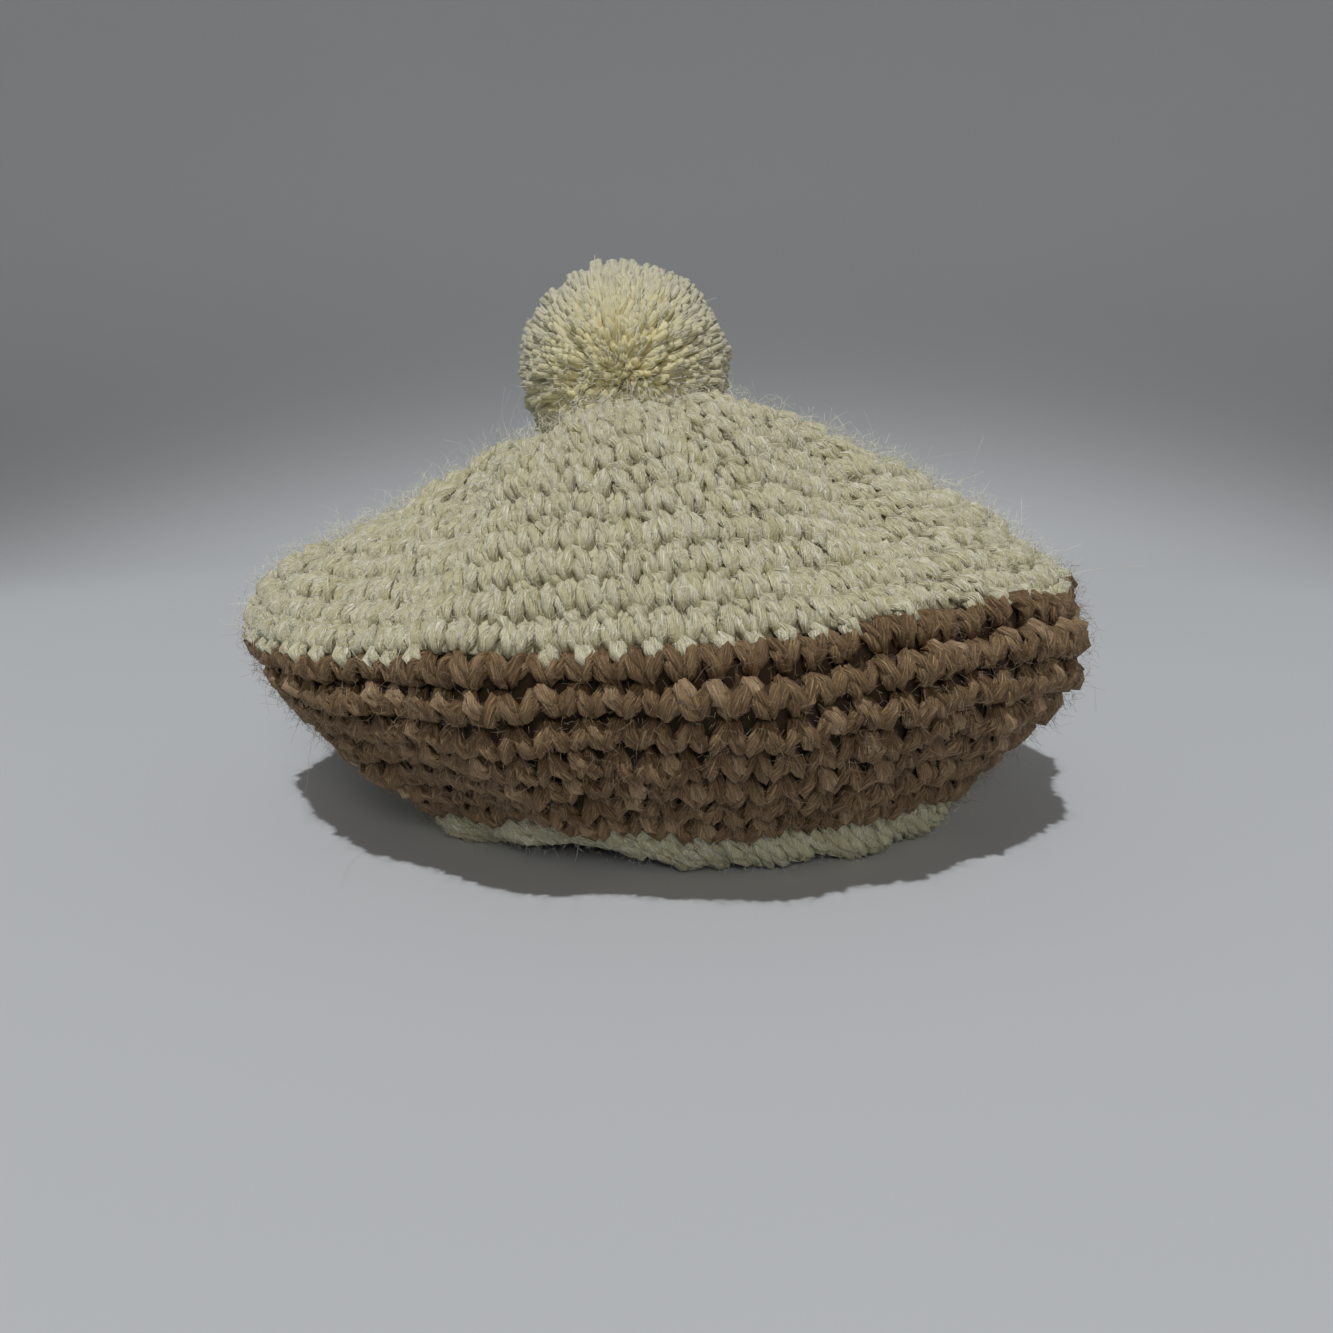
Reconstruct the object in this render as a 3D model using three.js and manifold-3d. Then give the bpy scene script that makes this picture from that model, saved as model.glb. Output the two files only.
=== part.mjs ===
// A crocheted pom-pom beret, lying by itself on its headband.
//
// Millimetres, +Z up, origin on the ground under the middle of the beret. -Y is the front,
// +X the right. The fabric is one surface, worked outwards in rounds from the spot under the
// pompom: round 0 is that spot, the crown ends at round 16, the underbrim at round 23 and the
// headband at round 25. Every shell is cut from that surface between two rounds.

import * as THREE from 'three';
import { mergeVertices } from 'three/addons/utils/BufferGeometryUtils.js';
import Module from 'manifold-3d';

const wasm = await Module();
wasm.setup();

// Driving dimensions

const HALF_WIDTH = 93;
const HALF_DEPTH = 81;
const FABRIC = 4;
const GAP = 0.3;

const CROWN_END = 16;
const BRIM_END = 23;
const BAND_END = 25;

const RIB_HEIGHT = 0.7;
const AROUND = 56;

const POMPOM_RADIUS = 25.5;
const POMPOM_CORE = 21.5;
const POMPOM_LIFT = 21.5;
const LOCKS = 72;

// Section of the beret. For a place on the fabric, counted in rounds: how far out it lies as a
// share of the plan's half width and half depth, its height, how far its round is shifted to
// the right and to the back, and how much of the crown's sideways slide it takes.
const SECTION = [
  { round: 0, out: 0, up: 77, right: -9, back: 9, slide: 0 },
  { round: 2, out: 0.13, up: 79, right: -8, back: 8, slide: 0.05 },
  { round: 4, out: 0.27, up: 83, right: -6.5, back: 6, slide: 0.15 },
  { round: 6, out: 0.41, up: 81.5, right: -5, back: 4, slide: 0.3 },
  { round: 8, out: 0.545, up: 76.5, right: -4, back: 3, slide: 0.45 },
  { round: 10, out: 0.675, up: 71, right: -3, back: 2, slide: 0.6 },
  { round: 12, out: 0.795, up: 65, right: -2, back: 1, slide: 0.75 },
  { round: 14, out: 0.905, up: 57.5, right: -1, back: 0, slide: 0.9 },
  { round: 15.5, out: 0.975, up: 51.5, right: 0, back: 0, slide: 1 },
  { round: 16.7, out: 1, up: 46, right: 0, back: 0, slide: 1 },
  { round: 18, out: 0.975, up: 37.5, right: 0, back: 0, slide: 0.85 },
  { round: 20, out: 0.88, up: 25.5, right: 1, back: 0, slide: 0.5 },
  { round: 22, out: 0.765, up: 13.5, right: 3, back: 1, slide: 0.2 },
  { round: 23, out: 0.71, up: 8, right: 5, back: 2, slide: 0.1 },
  { round: 24, out: 0.68, up: 4, right: 6, back: 3, slide: 0 },
  { round: 25, out: 0.672, up: 0, right: 6, back: 3, slide: 0 },
];

// Rounds by which the fabric has slid down on the left, and the azimuth that it slid away from.
const SLIDE = 1.4;
const SLIDE_AZIMUTH = -35;

// Where the rounds wander from that slide: how wide round the beret, and by how many rounds they
// run higher.
const WANDERS = [
  { name: 'high at the right front', azimuth: -54, degrees: 20, rounds: 0.65 },
  { name: 'low at the right', azimuth: -18, degrees: 14, rounds: -0.4 },
  { name: 'low at the left', azimuth: -155, degrees: 18, rounds: -0.35 },
];

// Folds and bulges: where each one's middle lies, how wide it is round the beret and across
// the rounds, how it leans (degrees for each round) and how far it pushes the fabric out.
const FOLDS = [
  { name: 'front bulge', azimuth: -92, round: 8, degrees: 40, rounds: 5, lean: 0, push: 11.5 },
  { name: 'right shoulder', azimuth: -50, round: 6.5, degrees: 22, rounds: 2.5, lean: 0, push: 6 },
  { name: 'left valley', azimuth: -130, round: 11, degrees: 13, rounds: 5, lean: 0, push: -5 },
  { name: 'right hollow', azimuth: -56, round: 11.5, degrees: 14, rounds: 4, lean: -2, push: -5 },
  { name: 'right bulge', azimuth: -14, round: 9, degrees: 26, rounds: 4, lean: 0, push: 3 },
  { name: 'left shoulder', azimuth: -165, round: 13.5, degrees: 25, rounds: 3, lean: 0, push: -1 },
  { name: 'left slope', azimuth: 172, round: 8, degrees: 45, rounds: 5, lean: 0, push: -8 },
  { name: 'back dent', azimuth: 75, round: 11, degrees: 22, rounds: 4, lean: 0, push: -3 },
  { name: 'back swell', azimuth: 115, round: 12, degrees: 25, rounds: 3, lean: 0, push: 2 },
  { name: 'front sag', azimuth: -75, round: 19, degrees: 40, rounds: 2, lean: 0, push: 1.5 },
  { name: 'right sag', azimuth: -25, round: 19.5, degrees: 25, rounds: 2, lean: 0, push: 1 },
];

// Folds grow in from the spot under the pompom and die out before the headband.
const FOLDS_FULL_FROM = 5;
const FOLDS_FADE_FROM = 20;

// Where the headband's lower edge is lifted off the ground, in an arch.
const ARCH = { azimuth: -110, degrees: 14, from: 21, lift: 5 };

const CREAM = { color: 0xd9d6bd, roughness: 0.95, metalness: 0 };
const PALE_CREAM = { color: 0xe6e0bd, roughness: 0.95, metalness: 0 };
const BROWN = { color: 0x94735a, roughness: 0.95, metalness: 0 };

// Small helpers

const degreesBetween = (a, b) => THREE.MathUtils.euclideanModulo(a - b + 180, 360) - 180;
const hill = (distance, width) => Math.exp(-((distance / width) ** 2));
const radians = THREE.MathUtils.degToRad;

// One column of the section at any place on the fabric, on a smooth curve through its rows.
function section(column, place) {
  const last = SECTION.length - 2;
  let row = SECTION.findIndex((entry) => entry.round > place) - 1;
  if (row < 0) row = last;
  const slope = (index) => {
    const before = SECTION[Math.max(index - 1, 0)];
    const after = SECTION[Math.min(index + 1, last + 1)];
    return (after[column] - before[column]) / (after.round - before.round);
  };
  const from = SECTION[row];
  const to = SECTION[row + 1];
  const span = to.round - from.round;
  const t = (place - from.round) / span;
  const bend = from[column] - to[column];
  return from[column]
    + slope(row) * span * t * (1 - t) ** 2
    - slope(row + 1) * span * t ** 2 * (1 - t)
    - bend * t ** 2 * (3 - 2 * t);
}

// The fabric's outer surface

function plainPoint(azimuth, round) {
  const angle = radians(azimuth);
  const wander = WANDERS.reduce((sum, part) => (
    sum + part.rounds * hill(degreesBetween(azimuth, part.azimuth), part.degrees)
  ), 0);
  const aslant = SLIDE * Math.cos(angle - radians(SLIDE_AZIMUTH));
  const slide = (aslant + wander) * section('slide', round);
  const place = THREE.MathUtils.clamp(round - slide, 0, BAND_END);
  const out = section('out', place);
  return new THREE.Vector3(
    section('right', round) + HALF_WIDTH * out * Math.cos(angle),
    section('back', round) + HALF_DEPTH * out * Math.sin(angle),
    section('up', place),
  );
}

// Outward normal of a surface given as a function of azimuth and round.
function normalOf(surface, azimuth, round) {
  const STEP_DEGREES = 1.5;
  const STEP_ROUNDS = 0.15;
  if (round < STEP_ROUNDS) return new THREE.Vector3(0, 0, 1);
  const around = surface(azimuth + STEP_DEGREES, round).sub(surface(azimuth - STEP_DEGREES, round));
  const lower = Math.min(round + STEP_ROUNDS, BAND_END);
  const down = surface(azimuth, lower).sub(surface(azimuth, round - STEP_ROUNDS));
  return down.cross(around).normalize();
}

function foldPush(azimuth, round) {
  return FOLDS.reduce((sum, fold) => {
    const middle = fold.azimuth + fold.lean * (round - fold.round);
    const beside = hill(degreesBetween(azimuth, middle), fold.degrees);
    return sum + fold.push * beside * hill(round - fold.round, fold.rounds);
  }, 0)
    * THREE.MathUtils.smoothstep(round, 0, FOLDS_FULL_FROM)
    * (1 - THREE.MathUtils.smoothstep(round, FOLDS_FADE_FROM, BRIM_END));
}

function fabricPoint(azimuth, round) {
  const outward = normalOf(plainPoint, azimuth, round);
  const point = plainPoint(azimuth, round).addScaledVector(outward, foldPush(azimuth, round));
  const under = hill(degreesBetween(azimuth, ARCH.azimuth), ARCH.degrees);
  point.z += ARCH.lift * under * THREE.MathUtils.smoothstep(round, ARCH.from, BAND_END);
  return point;
}

// Direction through the fabric. It turns level at the headband's edge, so the edge is flat.
function throughFabric(azimuth, round) {
  const direction = normalOf(fabricPoint, azimuth, round);
  direction.z *= 1 - THREE.MathUtils.smoothstep(round, BRIM_END, BAND_END);
  return direction.normalize();
}

// A ring of points on the fabric, `raise` above its outer surface and drawn along the fabric by
// `inset` rounds. Round 0 is a single point.
function ring(round, raise, inset = 0) {
  if (round === 0) return [fabricPoint(0, 0).add(new THREE.Vector3(0, 0, raise))];
  return Array.from({ length: AROUND }, (_, index) => {
    const azimuth = (360 * index) / AROUND;
    return fabricPoint(azimuth, round + inset).addScaledVector(throughFabric(azimuth, round), raise);
  });
}

// Solids from rings

// Closed skin through a list of rings. A ring of one point is a pole. With `loop` the last
// ring joins the first.
function skin(rings, loop) {
  const positions = [];
  const starts = rings.map((points) => {
    const start = positions.length / 3;
    points.forEach((point) => positions.push(point.x, point.y, point.z));
    return start;
  });
  const faces = [];
  const pairs = loop ? rings.length : rings.length - 1;
  for (let index = 0; index < pairs; index += 1) {
    const next = (index + 1) % rings.length;
    for (let step = 0; step < AROUND; step += 1) {
      const turn = (step + 1) % AROUND;
      const at = (ringIndex, place) => starts[ringIndex] + (rings[ringIndex].length === 1 ? 0 : place);
      if (rings[index].length > 1) faces.push(at(index, step), at(next, step), at(index, turn));
      if (rings[next].length > 1) faces.push(at(index, turn), at(next, step), at(next, turn));
    }
  }
  const geometry = new THREE.BufferGeometry();
  geometry.setAttribute('position', new THREE.Float32BufferAttribute(positions, 3));
  geometry.setIndex(faces);
  return geometry;
}

// Rounds from one place to another: every groove and every ridge between them.
function ribPlaces(from, to, step) {
  const places = [from];
  for (let place = Math.floor(from / step + 1.001) * step; place < to - step / 4; place += step) {
    places.push(place);
  }
  return [...places, to];
}

// Each round of stitches is a rib: its middle stands up and the seam to the next lies low.
const ribRaise = (round) => -RIB_HEIGHT * Math.cos(2 * Math.PI * round);

// Half the gap between two shells, counted in rounds, at the edge where they meet.
function edgeInset(place, from, to) {
  if (place !== from && place !== to) return 0;
  if (place === 0 || place === BAND_END) return 0;
  const height = fabricPoint(-90, place - 0.5).distanceTo(fabricPoint(-90, place + 0.5));
  const half = GAP / height / 2;
  return place === from ? half : -half;
}

const outerRings = (from, to) => ribPlaces(from, to, 0.5).map((place) => (
  ring(place, place === from || place === to ? 0 : ribRaise(place), edgeInset(place, from, to))
));
const innerRings = (from, to, step) => ribPlaces(from, to, step).reverse().map((place) => (
  ring(place, -FABRIC, edgeInset(place, from, to))
));

// The fabric between two rounds, as a closed shell.
function fabricShell(from, to, step) {
  return skin([...outerRings(from, to), ...innerRings(from, to, step)], from > 0);
}

const solidOf = (geometry) => {
  const bare = geometry.clone();
  bare.deleteAttribute('normal');
  bare.deleteAttribute('uv');
  const merged = mergeVertices(bare, 1e-4);
  return new wasm.Manifold(new wasm.Mesh({
    numProp: 3,
    vertProperties: new Float32Array(merged.attributes.position.array),
    triVerts: new Uint32Array(merged.index.array),
  }));
};

function geometryOf(solid) {
  const { vertProperties, triVerts } = solid.getMesh();
  const geometry = new THREE.BufferGeometry();
  geometry.setAttribute('position', new THREE.BufferAttribute(vertProperties, 3));
  geometry.setIndex(new THREE.BufferAttribute(triVerts, 1));
  return geometry;
}

function meshOf(name, geometry, finish) {
  const faceted = geometry.index ? geometry.toNonIndexed() : geometry;
  faceted.computeVertexNormals();
  const mesh = new THREE.Mesh(faceted, new THREE.MeshStandardMaterial({ ...finish, flatShading: true }));
  mesh.name = name;
  return mesh;
}

// Crown, underbrim and headband

const crown = () => fabricShell(0, CROWN_END, 2);
const underbrim = () => fabricShell(CROWN_END, BRIM_END, 1);
const headband = () => fabricShell(BRIM_END, BAND_END, 1);

// Pompom: a ball of yarn with locks standing out of it, seated in the hollow of the crown

function lock(direction, reach, lean) {
  const ROOT = 9;
  const HALF_WIDTH_AT_ROOT = 8;
  const HALF_WIDTH_AT_TIP = 1.9;
  const SIDES = 4;
  const length = reach - ROOT;
  const shape = new THREE.CylinderGeometry(HALF_WIDTH_AT_TIP, HALF_WIDTH_AT_ROOT, length, SIDES, 1);
  shape.rotateX(Math.PI / 2);
  shape.translate(0, 0, (reach + ROOT) / 2);
  const turned = new THREE.Quaternion().setFromUnitVectors(new THREE.Vector3(0, 0, 1), direction);
  shape.applyQuaternion(new THREE.Quaternion().setFromAxisAngle(new THREE.Vector3(1, 0, 0), lean));
  shape.applyQuaternion(turned);
  return shape;
}

// The locks are spread evenly by the golden angle. Each has its own length and lean, from two
// waves that never fall into step with the turning.
function pompom() {
  const GOLDEN_ANGLE = Math.PI * (3 - Math.sqrt(5));
  const LENGTH_SPREAD = 2.2;
  const LEAN_SPREAD = 0.12;
  const seat = fabricPoint(0, 0);
  let ball = solidOf(new THREE.IcosahedronGeometry(POMPOM_CORE, 1));
  for (let index = 0; index < LOCKS; index += 1) {
    const height = 1 - (2 * index + 1) / LOCKS;
    const across = Math.sqrt(1 - height * height);
    const turn = GOLDEN_ANGLE * index;
    const direction = new THREE.Vector3(across * Math.cos(turn), across * Math.sin(turn), height);
    const reach = POMPOM_RADIUS - (LENGTH_SPREAD * (1 + Math.sin(7.3 * index))) / 2;
    const lean = LEAN_SPREAD * Math.sin(4.1 * index);
    ball = ball.add(solidOf(lock(direction, reach, lean)));
  }
  const placed = geometryOf(ball).translate(seat.x, seat.y, seat.z + POMPOM_LIFT);
  return geometryOf(solidOf(placed).subtract(crownClearance()));
}

// All the room that the crown takes under the pompom, with the gap on top.
function crownClearance() {
  const LAST_ROUND = 9;
  const FLOOR = 60;
  const places = ribPlaces(0, LAST_ROUND, 0.5);
  const top = places.map((place) => ring(place, (place === 0 ? 0 : ribRaise(place)) + GAP));
  const foot = top.at(-1).map((point) => point.clone().setZ(FLOOR));
  const footMiddle = fabricPoint(0, 0).setZ(FLOOR);
  return solidOf(skin([...top, foot, [footMiddle]], false));
}

// Assembly

const beret = new THREE.Group();
beret.add(
  meshOf('crown', crown(), CREAM),
  meshOf('underbrim', underbrim(), BROWN),
  meshOf('headband', headband(), PALE_CREAM),
  meshOf('pompom', pompom(), PALE_CREAM),
);

// The origin lies under the middle of the whole beret.
const middle = new THREE.Box3().setFromObject(beret).getCenter(new THREE.Vector3());
beret.position.set(-middle.x, -middle.y, 0);

export default beret;
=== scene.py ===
"""A crocheted pom-pom beret: the stitches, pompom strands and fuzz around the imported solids."""

import math
from functools import cache

import bpy
import numpy as np
from bpy.props import FloatProperty, FloatVectorProperty, IntProperty, PointerProperty
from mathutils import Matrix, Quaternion, Vector
from mathutils.bvhtree import BVHTree


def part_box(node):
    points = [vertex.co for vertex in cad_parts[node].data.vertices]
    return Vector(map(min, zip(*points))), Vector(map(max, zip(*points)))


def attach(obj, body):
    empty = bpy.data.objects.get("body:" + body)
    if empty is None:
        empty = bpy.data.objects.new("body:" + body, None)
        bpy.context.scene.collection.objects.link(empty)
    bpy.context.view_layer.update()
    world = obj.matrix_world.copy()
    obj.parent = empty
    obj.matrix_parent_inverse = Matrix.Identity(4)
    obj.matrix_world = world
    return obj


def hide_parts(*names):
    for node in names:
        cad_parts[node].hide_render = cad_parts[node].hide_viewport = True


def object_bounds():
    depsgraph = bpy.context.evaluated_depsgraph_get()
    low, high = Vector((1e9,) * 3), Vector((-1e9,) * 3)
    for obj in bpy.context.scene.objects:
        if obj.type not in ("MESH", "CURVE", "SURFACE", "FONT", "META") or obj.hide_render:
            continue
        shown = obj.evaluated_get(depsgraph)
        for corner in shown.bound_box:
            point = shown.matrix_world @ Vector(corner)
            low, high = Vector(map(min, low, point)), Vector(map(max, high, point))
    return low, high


bl_info = {
    "name": "Pom-pom beret",
    "version": (1, 0, 0),
    "blender": (4, 5, 0),
    "location": "3D View > Sidebar > Beret",
    "description": "Crochet stitches, pompom and fuzz of a baby beret",
    "category": "Object",
}

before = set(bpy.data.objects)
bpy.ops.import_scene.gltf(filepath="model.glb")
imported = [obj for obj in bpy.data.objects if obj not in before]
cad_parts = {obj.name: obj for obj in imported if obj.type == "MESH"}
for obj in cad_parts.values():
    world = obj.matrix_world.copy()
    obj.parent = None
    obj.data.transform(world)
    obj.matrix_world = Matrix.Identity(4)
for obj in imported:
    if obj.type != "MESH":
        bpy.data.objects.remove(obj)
CAD_BOX = [list(corner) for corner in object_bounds()]

MM = 0.001
SQUARE_CM = 1e-4

# The fabric's shells in the order that they were worked, with their rounds of stitches.
SHELLS = {"crown": (0, 16), "underbrim": (16, 23), "headband": (23, 25)}
LAST_ROUND = SHELLS["headband"][1]

# Share of a stitch that each round starts further on than the one before it.
DRIFT = 0.37

# Level of the strands' middles under the face that the solids give the fabric.
LEVEL = -1.8 * MM

# Strands of a stitch, from step to step over its cell of the fabric. `across` is a share of the
# stitch's width and `along` a share of its round, counted outwards from the spot under the pompom.
# `out` is the height of the strand's middle over LEVEL and `half` half its thickness, both in mm.
CROWN_LEG = {
    "across": (-0.07, -0.13, -0.20, -0.25, -0.27, -0.25),
    "along": (-0.08, 0.10, 0.38, 0.66, 0.89, 0.97),
    "out": (-1.5, 0.0, 0.8, 0.9, 0.0, -1.6),
    "half": (0.70, 1.50, 1.84, 1.92, 1.60, 0.65),
}
CROWN_LOOP = {
    "across": (0.36, 0.40, 0.50, 0.59, 0.63),
    "along": (0.94, 0.97, 1.09, 1.22, 1.27),
    "out": (-1.5, 0.3, 1.0, 0.2, -1.5),
    "half": (0.60, 1.45, 1.80, 1.45, 0.60),
}
CROWN_RIM_LOOP = {
    "across": (0.40, 0.42, 0.48, 0.54, 0.57),
    "along": (0.86, 0.98, 1.15, 1.32, 1.42),
    "out": (-1.2, 0.9, 1.7, 1.2, -1.0),
    "half": (0.80, 1.70, 2.10, 1.80, 0.80),
}
UNDERBRIM_LEG = {
    "across": (-0.03, -0.10, -0.22, -0.34, -0.42, -0.42),
    "along": (0.02, 0.16, 0.36, 0.58, 0.78, 0.88),
    "out": (-2.2, 0.1, 1.8, 1.8, 0.2, -2.2),
    "half": (0.60, 1.45, 1.85, 1.90, 1.55, 0.65),
}
UNDERBRIM_LOOP = {
    "across": (0.30, 0.36, 0.46, 0.57, 0.63),
    "along": (0.94, 1.04, 1.20, 1.37, 1.46),
    "out": (-1.6, 1.2, 2.3, 2.0, 0.2),
    "half": (0.70, 1.50, 1.85, 1.60, 0.75),
}
BAND_STRAND = {
    "across": (-0.56, -0.46, -0.26, -0.02, 0.22, 0.42, 0.50),
    "along": (-0.20, 0.08, 0.50, 0.95, 1.40, 1.82, 2.05),
    "out": (-1.6, 0.3, 1.3, 1.7, 1.4, 0.4, -1.2),
    "half": (0.80, 1.60, 2.05, 2.15, 2.10, 1.80, 0.90),
}

# Colours besides those in the settings: the light end of a yarn's tone, also painted as the highlight
# on its lit fibres; the dark end of its tone, also painted as the shade in its creases; and of its
# fuzz.
LIGHT_TONE_AND_HIGHLIGHT = {"cream": (0.98, 0.97, 0.84), "brown": (0.48, 0.335, 0.185), "tan": (0.64, 0.48, 0.30)}
DARK_TONE_AND_SHADE = {"cream": (0.56, 0.51, 0.27), "brown": (0.095, 0.053, 0.023), "tan": (0.22, 0.13, 0.066)}
FIBRE = {"cream": (0.90, 0.89, 0.76), "brown": (0.29, 0.20, 0.12), "pompom": (0.80, 0.79, 0.68)}
TAN = (0.40, 0.27, 0.15)
# Painted warm shade of the pompom: the yellow it shows round its parting, at its roots and between its
# fibres.
POMPOM_WARM_SHADE = (0.90, 0.81, 0.43)


# Settings


class BERET_PG_yarn(bpy.types.PropertyGroup):
    """Sizes and colours of the crocheted fabric"""

    stitch: FloatProperty(
        name="Stitch width",
        description="Width of one stitch along its round",
        default=6.5 * MM,
        unit="LENGTH",
    )
    wall: FloatProperty(
        name="Fabric thickness",
        description="From the outer face of the fabric to its inner face",
        default=4.0 * MM,
        unit="LENGTH",
    )
    lay: FloatProperty(
        name="Lay",
        description="Length of yarn in which its three plies turn once",
        default=15.0 * MM,
        unit="LENGTH",
    )
    unevenness: FloatProperty(
        name="Unevenness",
        description="How much stitches differ, as a share of their size",
        default=0.07,
        subtype="FACTOR",
    )
    cream: FloatVectorProperty(
        name="Cream",
        description="Colour of the crown and the headband",
        default=(0.81, 0.775, 0.545),
        subtype="COLOR",
    )
    brown: FloatVectorProperty(
        name="Brown",
        description="Colour of the underbrim",
        default=(0.20, 0.120, 0.058),
        subtype="COLOR",
    )


class BERET_PG_fuzz(bpy.types.PropertyGroup):
    """Loose fibres that stand off the yarn"""

    density: FloatProperty(
        name="Density",
        description="Fibres on each square centimetre of the crown",
        default=44.0,
    )
    length: FloatProperty(
        name="Length",
        description="Usual length of a fibre",
        default=2.2 * MM,
        unit="LENGTH",
    )
    half: FloatProperty(
        name="Half thickness",
        description="Half the thickness of a fibre",
        default=0.04 * MM,
        unit="LENGTH",
    )


class BERET_PG_pompom(bpy.types.PropertyGroup):
    """Strands of the pompom"""

    strands: IntProperty(
        name="Strands",
        description="Cut ends of yarn all over the ball",
        default=1600,
    )
    half: FloatProperty(
        name="Half thickness",
        description="Half the thickness of a strand's ply",
        default=0.95 * MM,
        unit="LENGTH",
    )
    cream: FloatVectorProperty(
        name="Cream",
        description="Colour of the pompom",
        default=(0.63, 0.62, 0.51),
        subtype="COLOR",
    )


class BERET_PG_stage(bpy.types.PropertyGroup):
    """Floor and camera"""

    distance: FloatProperty(
        name="Camera distance",
        description="From the camera to the middle of the beret, along the ground",
        default=0.279,
        unit="LENGTH",
    )
    height: FloatProperty(
        name="Camera height",
        description="Camera above the ground",
        default=0.0967,
        unit="LENGTH",
    )
    pitch: FloatProperty(
        name="Camera pitch",
        description="How far the camera looks down",
        default=math.radians(13.3),
        subtype="ANGLE",
    )
    lens: FloatProperty(
        name="Lens",
        description="Focal length in millimetres",
        default=33.0,
    )
    floor: FloatVectorProperty(
        name="Floor",
        description="Colour of the floor",
        default=(0.60, 0.63, 0.66),
        subtype="COLOR",
    )


# The fabric's surface, read from the solids


def bell(sigma):
    """Weights that blur over neighbours, and how many neighbours there are on each side."""
    reach = int(math.ceil(3 * sigma))
    weights = np.exp(-0.5 * (np.arange(-reach, reach + 1) / sigma) ** 2)
    return weights / weights.sum(), reach


def smooth_around(values, sigma):
    """Smooths along the first axis of an array that closes on itself."""
    weights, reach = bell(sigma)
    padded = np.concatenate([values[-reach:], values, values[:reach]])
    return sum(w * padded[i : i + len(values)] for i, w in enumerate(weights))


def solid_tree(solid):
    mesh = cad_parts[solid].data
    return BVHTree.FromPolygons(
        [vertex.co.copy() for vertex in mesh.vertices],
        [tuple(polygon.vertices) for polygon in mesh.polygons],
    )


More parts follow.
